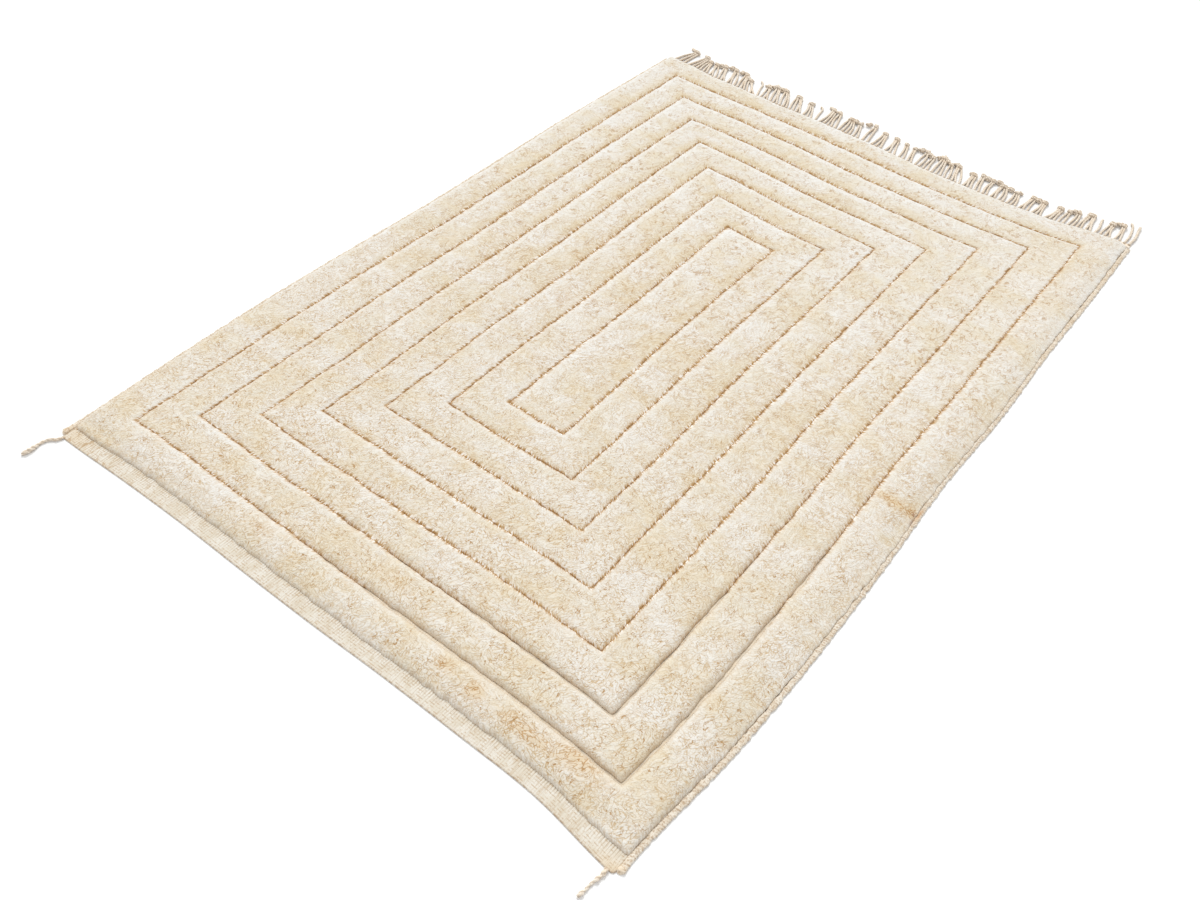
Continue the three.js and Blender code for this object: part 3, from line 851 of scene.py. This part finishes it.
def make_selvedge(name, side, sign):
    """Yarn wrapped over the side warps, slanting, along one long side."""
    near, far = (float(side_at(HEM, end, side_at(HEM, side, HEM[end]))) for end in ("near", "far"))
    start = near + HEM_TURN - 1.0
    y = np.arange(start, far - HEM_TURN - 2.0, WRAP_PITCH / 4.0)
    x = side_at(HEM, side, y) + sign * (GAP + SELVEDGE_WIDTH / 2.0)
    bump = np.abs(np.sin(math.pi * y / WRAP_PITCH)) ** 0.6
    size = 1.0 - 0.1 * (1 - bump) + 0.1 * (0.5 + 0.5 * lumps(y / 23.0, sign * 7.0))
    rough = sum(height * knobs(y / length, sign * at) for height, length, at in WRAP_ROUGH)
    stub = bell(y - start - STUB_LENGTH, STUB_LENGTH)
    cap = np.sqrt(np.clip((y - start + 0.6) / CAP_LENGTH, 0.0, 1.0))
    wide = SELVEDGE_WIDTH / 2.0 * size * (1 + rough * (1 - stub) + 0.2 * stub) * cap
    tall = SELVEDGE_THICK / 2.0 * size * (1 + 0.4 * stub) * cap
    angle = np.linspace(0, 2 * math.pi, SELVEDGE_SIDES, endpoint=False)[None, :]
    round_x, round_z = (np.sign(way) * np.abs(way) ** WRAP_SQUARE for way in (np.cos(angle), np.sin(angle)))
    aside = round_x * wide[:, None]
    slant = WRAP_SLANT * sign * aside
    rings = np.dstack([x[:, None] + aside, y[:, None] + slant, tall[:, None] * (1 + round_z)])
    if sign < 0:
        rings = rings[:, ::-1]
    # Painted shade in the valleys between the wraps, darker at some wraps than at others
    tick = smooth(0.2 + 1.9 * lumps(y / 13.0, sign * 11.0))
    crease = np.repeat(((1 - bump) * tick) ** 0.8, SELVEDGE_SIDES)
    return join_parts(name, [(*tube(rings), crease)])


def make_heading():
    """The narrow woven strip that the strands leave."""
    x = np.arange(HEADING_ENDS[0] - 2.0, HEADING_ENDS[1] + 1.0, HEADING_STEP)
    out, up = np.array(HEADING_PROFILE).T
    rib = np.where(np.arange(len(x)) % 2 == 0, HEADING_RIB, -HEADING_RIB)[:, None]
    rib = rib * (np.arange(len(up)) % (len(up) - 1) > 0)
    rings = np.dstack(np.broadcast_arrays(x[:, None], heading_edge(x)[:, None] + out, up + rib))
    points, faces = tube(rings[:, ::-1])
    return join_parts("fringe_heading", [(points, faces, np.zeros(len(points)))])


def heading_edge(x):
    """Where the heading begins, a little beyond the foot of the pile."""
    return side_at(FOOT, "far", x) + GAP


def root_ends():
    """Where one bunch's roots end and the next one's begin, from left to right."""
    ends = [HEADING_ENDS[0]]
    for (left, left_count, *_), (right, right_count, *_) in zip(BUNCHES[:-1], BUNCHES[1:]):
        ends.append(lerp(left, right, left_count / (left_count + right_count)))
    return [*ends, HEADING_ENDS[1]]


def make_strand(root, knot, tip, raised, rng):
    """A twisted strand on the floor, from under the pile's edge to its tip. A raised one crosses over its
    neighbours at the knot."""
    radius = STRAND_RADIUS * rng.uniform(0.88, 1.1)
    middle = lerp(root, knot, 0.5) + (rng.uniform(-6.0, 6.0), 0.0)
    end = lerp(knot, tip, 0.55) + (rng.uniform(-2.5, 2.5), 0.0)
    line = smooth_path([root, middle, knot, end, tip], STRAND_STEP)
    share = np.linspace(0, 1, len(line))
    z = radius + 0.3 + 2.0 * bell(share - KNOT_SHARE, 0.08) * raised
    size = radius * (1 + 0.2 * smooth((share - 0.85) / 0.1) - 0.5 * smooth((share - 0.95) / 0.05))
    lay = STRAND_LAY * rng.uniform(0.85, 1.15)
    return twisted_tube(np.column_stack([line, z]), size, lay, STRAND_SIDES)


def make_knot(middle, lean, half_width, rng):
    """Loops of yarn wound round a bunch."""
    angle = np.linspace(0, KNOT_TURNS * 2 * math.pi, KNOT_STEPS)
    start = rng.uniform(0, 2 * math.pi)
    along = np.linspace(-KNOT_REACH, KNOT_REACH, KNOT_STEPS)
    x = middle[0] + np.cos(angle + start) * half_width + lean * along
    y = middle[1] + along + 1.6 * np.sin(angle * 0.5 + start)
    z = np.maximum(KNOT_MIDDLE + np.sin(angle + start) * KNOT_RISE, KNOT_YARN)
    return twisted_tube(np.column_stack([x, y, z]), KNOT_YARN, KNOT_LAY, STRAND_SIDES, shade=0.2)


def make_fringe():
    """The strands, their knots with the bridges between some of them, and the heading."""
    heading = make_heading()
    rng = np.random.default_rng(FRINGE_SEED)
    strands, knots, middles = [], [], []
    ends = root_ends()
    for number, (at, count, knot_lean, tip_lean, reach) in enumerate(BUNCHES):
        for n in range(count):
            place = n - (count - 1) / 2.0
            root_x = lerp(ends[number], ends[number + 1], (n + 0.5) / count)
            edge = float(heading_edge(root_x)) + HEADING_DEPTH
            length = reach * (1 - 0.05 * abs(place)) * rng.uniform(0.94, 1.0)
            root = np.array((root_x, edge - STRAND_ROOT))
            knot = np.array((at + knot_lean + place * KNOT_PITCH, edge + reach * KNOT_SHARE))
            tip = np.array((at + tip_lean + place * TIP_PITCH + rng.uniform(-3.0, 3.0), edge + length))
            strands.append(make_strand(root, knot, tip, n % 2, rng))
        if count > 1:
            middle = (at + knot_lean, float(heading_edge(at)) + HEADING_DEPTH + reach * KNOT_SHARE)
            lean = (tip_lean - knot_lean) / max(20.0, reach * (1 - KNOT_SHARE))
            knots.append(make_knot(middle, lean, 2.6 * count + 1.8, rng))
            middles.append(middle)
    for left, right in zip(middles[:-1], middles[1:]):
        if right[0] - left[0] < BRIDGE_SPAN and rng.random() < BRIDGE_CHANCE:
            bridge = (lerp(left[0], right[0], 0.5), lerp(left[1], right[1], 0.5) + rng.uniform(-4.0, 12.0))
            knots.append(make_knot(bridge, (right[1] - left[1]) / 30.0, rng.uniform(7.0, 11.0), rng))
    return join_parts("fringe_strands", strands), join_parts("fringe_knots", knots), heading


def make_tail(name, route, knots, radius, seed):
    """A corner tail of two twisted plies with its knots."""
    rng = np.random.default_rng(seed)
    line = smooth_path(route, TAIL_STEP)
    along = walked(line)
    swollen = sum(bell(along - at, TAIL_KNOT_LENGTH) for at in knots)
    size = radius * (1 + TAIL_KNOT_SWELL * swollen + TAIL_UNEVEN * rng.standard_normal(len(along)))
    path = np.column_stack([line, size])
    return join_parts(name, [twisted_tube(path, size, TAIL_LAY, TAIL_SIDES, TAIL_GROOVE, 0.4)])


def colour(values):
    """A colour from its values in a picture, 0 to 255, as the shader takes it."""
    shares = [value / 255.0 for value in values]
    linear = [s / 12.92 if s <= 0.04045 else ((s + 0.055) / 1.055) ** 2.4 for s in shares]
    return (*linear, 1.0)


class Shader:
    """A material under construction. Each tint changes its base colour in turn, and the other methods add
    the nodes that work out where the tints go."""

    def __init__(self, name, colours=None, roughness=0.95, sheen=0.35):
        self.material = bpy.data.materials.new(name)
        self.material.use_nodes = True
        self.tree = self.material.node_tree
        self.shader = self.tree.nodes["Principled BSDF"]
        self.shader.inputs["Roughness"].default_value = roughness
        self.shader.inputs["Specular IOR Level"].default_value = 0.15
        self.shader.inputs["Sheen Weight"].default_value = sheen
        self.shader.inputs["Sheen Roughness"].default_value = 0.6
        self.colours = {key: colour(values) for key, values in (colours or {}).items()}
        self.base = self.colours.get("base")
        self.place = self.add("TexCoord", "Object")

    def add(self, kind, output, inputs=None, **settings):
        """The output of a new node, whose inputs are fixed values or other nodes' outputs."""
        made = self.tree.nodes.new("ShaderNode" + kind)
        for key, value in settings.items():
            setattr(made, key, value)
        for key, value in (inputs or {}).items():
            if isinstance(value, (int, float, tuple)):
                made.inputs[key].default_value = value
            else:
                self.tree.links.new(value, made.inputs[key])
        return made.outputs[output]

    def attribute(self, name):
        """A share that the mesh keeps at each point."""
        return self.add("Attribute", "Fac", attribute_name=name)

    def axis(self, name):
        """One of the object's coordinates."""
        return self.add("SeparateXYZ", name, {"Vector": self.place})

    def stretched(self, scale, place=None):
        """The object's coordinates, or another place, stretched by scale along each axis."""
        return self.add("Mapping", "Vector", {"Scale": scale, "Vector": place or self.place})

    def noise(self, scale, detail=2.0, distortion=0.0, stretch=None, place=None, output="Fac"):
        """Noise over the object's coordinates, those stretched along each axis, or another place."""
        place = self.stretched(stretch) if stretch else place or self.place
        inputs = {"Scale": scale, "Detail": detail, "Distortion": distortion, "Vector": place}
        return self.add("TexNoise", output, inputs)

    def swirled(self, scale, amount):
        """The object's coordinates, pushed about by a soft noise."""
        soft = self.noise(scale, 1.0, output="Color")
        inputs = {0: soft, 1: (amount, amount, 0.0), 2: self.place}
        return self.add("VectorMath", "Vector", inputs, operation="MULTIPLY_ADD")

    def cells(self, scale, place):
        """How far a point lies from the middle of its tuft."""
        inputs = {"Scale": scale, "Randomness": 0.75, "Vector": place}
        return self.add("TexVoronoi", "Distance", inputs, voronoi_dimensions="2D")

    def span(self, value, low, high, out_low=0.0, out_high=1.0):
        """Maps value from the span low to high onto out_low to out_high, clamped."""
        inputs = {"Value": value, "From Min": low, "From Max": high, "To Min": out_low, "To Max": out_high}
        return self.add("MapRange", "Result", inputs, interpolation_type="SMOOTHSTEP")

    def line_of(self, value, width):
        """1 on the lines where a noise crosses its middle, and 0 beside them."""
        off = self.maths("ABSOLUTE", self.maths("SUBTRACT", value, 0.5))
        return self.span(off, 0.0, width, 1.0, 0.0)

    def maths(self, operation, *values):
        """The result of an operation on one or two values."""
        return self.add("Math", "Value", dict(enumerate(values)), operation=operation)

    def times(self, product, *factors):
        """The product of several values."""
        for factor in factors:
            product = self.maths("MULTIPLY", product, factor)
        return product

    def blend(self, share, first, second):
        """Two values mixed."""
        return self.add("Mix", 0, {0: share, 2: first, 3: second})

    def mix(self, share, first, second):
        """Two colours mixed."""
        return self.add("Mix", 2, {0: share, 6: first, 7: second}, data_type="RGBA")

    def tint(self, name, *shares):
        """Mixes the base with one of the material's colours, by the product of the shares."""
        self.base = self.mix(self.times(*shares), self.base, self.colours[name])

    def brushed(self, size, place):
        """Noise in short strokes of the given size that keep to one direction over a patch of the pile."""
        value = None
        for number, turn in enumerate((0.35, 1.4, 2.5)):
            inputs = {"Rotation": (0.0, 0.0, turn), "Scale": size, "Vector": place}
            turned = self.add("Mapping", "Vector", inputs, vector_type="TEXTURE")
            strokes = self.noise(1.0, 1.0, place=turned)
            if value is None:
                value = strokes
                continue
            patch = self.noise(14.0 + 5.0 * number, 1.0, 0.3)
            value = self.blend(self.span(patch, 0.47, 0.53), value, strokes)
        return value

    def combed(self, scale):
        """Noise that runs in strokes across the pile's walls."""
        inputs = {"X": self.attribute("along"), "Y": self.times(self.attribute("rise"), 0.004)}
        return self.noise(scale, 1.0, place=self.add("CombineXYZ", "Vector", inputs))

    def finish(self, height=None, distance=0.001, strength=1.0):
        """Gives the shader its base colour and its relief."""
        self.tree.links.new(self.base, self.shader.inputs["Base Color"])
        if height is not None:
            inputs = {"Distance": distance, "Strength": strength, "Height": height}
            self.tree.links.new(self.add("Bump", "Normal", inputs), self.shader.inputs["Normal"])
        return self.material


def pile_material():
    """Ivory cut pile: painted highlights on the tips with painted shade between them, combed strokes that
    change direction from patch to patch, short strokes of painted shade, painted light on the slopes, walls
    and grooves, and cloudy warm wool."""
    s = Shader("pile_wool", PILE_COLOURS, sheen=0.2)
    stain = s.attribute("stain")
    lean = s.attribute("lean")
    deep = s.attribute("deep")
    lash = s.attribute("lash")
    far_off = s.span(s.axis("Y"), -0.8, 0.9)

    # Clouds of cream, warmer patches and stains
    cloud = s.span(s.noise(5.0, 3.0, 0.3, (1.0, 1.7, 1.0)), 0.36, 0.68)
    patch = s.span(s.noise(17.0, 2.0, 0.4), 0.42, 0.64)
    s.tint("cream", cloud)
    s.tint("warm", patch, s.maths("ADD", s.times(cloud, 0.55), 0.15))
    s.tint("stain", stain, 0.7)

    # Painted shade on slopes that face away from the light, and a painted highlight on those that face it
    facing = s.times(s.maths("MAXIMUM", lean, 0.0), s.span(far_off, 0.0, 1.0, 0.5, 0.8))
    s.tint("shaded slope", facing)
    s.tint("highlit slope", s.maths("MINIMUM", lean, 0.0), -0.8)

    # How busy the cut tips are: most on the near crowns, in the stains and on the slopes that take painted
    # shade
    busy = s.span(s.noise(21.0, 2.0, 0.2), 0.34, 0.62, 0.5, 1.0)
    near_side = s.span(s.axis("Y"), -1.3, 1.2, 1.0, 0.5)
    busy = s.times(busy, near_side, s.span(s.attribute("top"), 0.0, 1.0, 0.2, 1.0))
    busy = s.maths("MAXIMUM", s.maths("MAXIMUM", busy, stain), facing)

    # Painted shade between the tufts, and the combed strokes over them: painted shade along their lines,
    # darker in the stains, and painted highlights beside them
    bent = s.swirled(13.0, 0.018)
    between = s.span(s.cells(165.0, bent), 0.25, 0.6)
    s.tint("shade between tufts", between, s.span(busy, 0.0, 1.0, 0.1, 0.36), s.span(far_off, 0.0, 1.0, 1.0, 0.6))
    small = s.brushed((0.0078, 0.02, 0.01), bent)
    large = s.brushed((0.0115, 0.028, 0.01), bent)
    combed = s.blend(far_off, small, large)
    tan = s.line_of(combed, 0.055)
    pale = s.span(combed, 0.54, 0.64)
    s.tint("stroke shade", tan, busy, 0.85)
    s.tint("stain and stroke shade", tan, s.maths("SUBTRACT", stain, 0.2), 1.2)
    s.tint("stroke highlight", pale, 0.15)

    # Painted shade in short strokes, in the crevices, and in the few long lines where the pile parts
    fine = s.line_of(s.noise(1.0, 1.0, 0.8, place=s.stretched((70.0, 48.0, 60.0), bent)), 0.024)
    coarse = s.line_of(s.noise(1.0, 1.0, 0.8, place=s.stretched((52.0, 30.0, 60.0), bent)), 0.06)
    short = s.span(s.noise(50.0, 1.0), 0.46, 0.54)
    stroke = s.times(s.blend(far_off, fine, coarse), short, s.span(busy, 0.2, 0.8, 0.2, 1.0))
    s.tint("dash shade", stroke)
    s.tint("crevice", s.attribute("crevice"), 0.3)
    parting_shade = s.line_of(s.noise(6.0, 2.0, 0.2, (1.0, 11.0, 1.0)), 0.004)
    s.tint("parting_shade", parting_shade, s.span(s.noise(5.0, 1.0, 0.0, (1.3, 2.6, 1.0)), 0.48, 0.6, 0.0, 0.9))

    # Painted shade down the walls and in the grooves, with darker spots in it, and hairs beside the grooves
    s.tint("wall", s.span(s.attribute("rise"), 0.3, 0.93, 0.18, 0.0))
    s.tint("groove", deep)
    hairs = s.combed(215.0)
    s.tint("pale hair", s.span(hairs, 0.5, 0.4), lash)
    s.tint("tan hair", s.span(hairs, 0.5, 0.58), lash)
    s.tint("groove shade spot", deep, s.span(s.noise(75.0, 1.0), 0.5, 0.6))
    s.tint("mark", s.attribute("mark"))

    height = s.maths("SUBTRACT", s.maths("SUBTRACT", s.maths("SUBTRACT", pale, tan), between), stroke)
    return s.finish(height, 0.0007, 0.5)


def ground_material():
    """Flat weave with fine ribs and painted shade between them, rows of flecks, greyer at its edge, and
    darker under the pile with dirt and painted shade.
    """
    s = Shader("flat_weave", WEAVE_COLOURS, sheen=0.15)
    row = s.attribute("row")
    s.tint("cream", s.span(s.noise(22.0, 3.0, 0.3), 0.4, 0.62))
    s.tint("stain", s.attribute("stain"), 0.6)

    # Painted shade in the valleys between the ribs, stronger towards the pile, and the streaks that comb the
    # left end
    valley = s.span(s.attribute("rib"), -1.0, 0.1, 1.0, 0.0)
    faint = s.span(s.noise(60.0, 1.0, 0.0, (1.0, 0.5, 1.0)), 0.38, 0.6, 0.3, 0.75)
    s.tint("valley", valley, faint, s.span(row, 0.014, 0.046, 0.35, 1.1))
    streak = s.line_of(s.noise(1.0, 1.0, 0.3, (115.0, 20.0, 1.0)), 0.05)
    s.tint("streak", streak, s.span(s.axis("X"), -0.95, -0.5, 0.9, 0.35))

    # The weft, its rows of flecks, and the dotted edge
    weft = s.noise(260.0, 1.0, 0.0, (0.5, 1.0, 1.0))
    s.tint("weft", s.span(weft, 0.52, 0.64, 0.0, 0.4))
    fleck = s.span(s.noise(150.0, 1.0), 0.48, 0.62, 0.05, 0.75)
    s.tint("fleck", fleck, s.span(s.maths("PINGPONG", row, 0.0036), 0.0, 0.0024, 1.0, 0.0))
    dots = s.span(s.noise(150.0, 2.0), 0.48, 0.58, 0.25, 0.75)
    s.tint("edge", s.span(s.attribute("rim"), 0.5, 5.0, 1.0, 0.0), dots)
    # Dirt and painted shade on the ground under the pile, where it shows in the open grooves
    s.tint("under pile dirt and shade", s.attribute("under"), 0.5)
    return s.finish(weft, 0.0005, 0.6)


def yarn_material(name, colours, specks):
    """Spun yarn: uneven colour, painted shade in its creases and on its underside, with specks of the given
    strength.
    """
    s = Shader(name, colours, sheen=0.15)
    fibre = s.noise(500.0, 2.0, 0.4, (1.0, 0.5, 1.0))
    s.tint("dark", s.span(s.noise(30.0, 3.0, 0.3), 0.35, 0.68))
    s.tint("crease", s.span(fibre, 0.45, 0.7, 0.0, 0.35))
    s.tint("crease", s.span(s.noise(190.0, 1.0), 0.5, 0.6, 0.0, specks))
    s.tint("stain", s.attribute("stain"), 0.5)
    s.tint("mark", s.attribute("mark"))
    # Painted shade in the creases and on the undersides
    s.tint("crease", s.attribute("crevice"), 0.7)
    return s.finish(fibre, 0.0006, 0.7)


def floor_material():
    """A plain white floor."""
    s = Shader("floor", roughness=0.9, sheen=0.0)
    s.base = s.mix(s.noise(3.0), *FLOOR_SHADES)
    return s.finish()


def make_camera():
    """The camera, turned from straight ahead along Y, tipped down and rolled."""
    turn, down, roll = (math.radians(angle) for angle in (CAMERA_TURN, CAMERA_DOWN, CAMERA_ROLL))
    forward = Vector((math.sin(turn) * math.cos(down), math.cos(turn) * math.cos(down), -math.sin(down)))
    right = Vector((math.cos(turn), -math.sin(turn), 0.0))
    up = right.cross(forward)
    tilted_right = math.cos(roll) * right + math.sin(roll) * up
    tilted_up = -math.sin(roll) * right + math.cos(roll) * up
    data = bpy.data.cameras.new("camera")
    data.lens = CAMERA_LENS
    data.sensor_width = CAMERA_SENSOR
    camera = show("camera", data)
    axes = Matrix((tilted_right, tilted_up, -forward)).transposed().to_4x4()
    camera.matrix_world = Matrix.Translation(CAMERA_PLACE) @ axes
    bpy.context.scene.camera = camera


def make_light():
    """The soft light from all round, and a distant one that shines towards the rug's middle."""
    world = bpy.data.worlds.new("studio")
    world.use_nodes = True
    world.node_tree.nodes["Background"].inputs["Color"].default_value = SKY_COLOUR
    world.node_tree.nodes["Background"].inputs["Strength"].default_value = SKY_STRENGTH
    bpy.context.scene.world = world
    data = bpy.data.lights.new("key", "SUN")
    data.angle = math.radians(KEY_SPREAD)
    data.energy = KEY_STRENGTH
    data.color = KEY_COLOUR
    light = show("key", data)
    light.location = KEY_PLACE
    light.rotation_mode = "QUATERNION"
    light.rotation_quaternion = (-Vector(KEY_PLACE)).to_track_quat("-Z", "Y")
    bpy.context.scene.view_settings.view_transform = "Standard"


def make_floor():
    """The white floor that the rug lies on."""
    mesh = bpy.data.meshes.new("floor")
    corners = [(x * FLOOR_HALF, y * FLOOR_HALF, 0) for x, y in ((-1, -1), (1, -1), (1, 1), (-1, 1))]
    mesh.from_pydata(corners, [], [(0, 1, 2, 3)])
    mesh.materials.append(floor_material())
    floor = show("floor", mesh)
    floor.location.z = -FLOOR_DROP


def dress(piece, material, slot, *nodes):
    """Gives a piece its material and body, and hides the CAD nodes it stands for; slot is not used."""
    piece.data.materials.append(material)
    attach(piece, "root")
    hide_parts(*nodes)
    return piece


def make_rug():
    """Every piece of the rug: the woven ground, and the list of what is on it."""
    pile = pile_material()
    selvedge_yarn = yarn_material("selvedge_yarn", SELVEDGE_COLOURS, SELVEDGE_SPECKS)
    warp = yarn_material("warp_yarn", WARP_COLOURS, WARP_SPECKS)
    ground = dress(make_ground(), ground_material(), "edge_wool", "woven_rug")
    on_it = []
    loops = [FOOT] + [{**groove, "turn": GROOVE_TURN} for groove in GROOVES]
    for number in range(len(GROOVES)):
        grooves = (number - 1 if number else None, number)
        band = make_band(f"pile_band_{number + 1}", loops[number], loops[number + 1], grooves)
        on_it.append(dress(band, pile, "pile_wool", "woven_rug"))
    panel = make_panel("pile_centre", inset(loops[-1], CLOSED_GAP))
    on_it.append(dress(panel, pile, "pile_wool", "woven_rug"))
    for side, sign in (("left", -1.0), ("right", 1.0)):
        binding = make_selvedge(f"binding_{side}", side, sign)
        on_it.append(dress(binding, selvedge_yarn, "edge_wool", f"selvedge_{side}"))
    for piece in make_fringe():
        on_it.append(dress(piece, warp, "warp_yarn", "fringe"))
    for side, tail in TAILS.items():
        on_it.append(dress(make_tail(f"twisted_tail_{side}", **tail), warp, "warp_yarn", f"tail_{side}"))
    return ground, on_it


def main():
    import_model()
    make_camera()
    make_floor()
    make_light()
    ground, on_it = make_rug()


main()
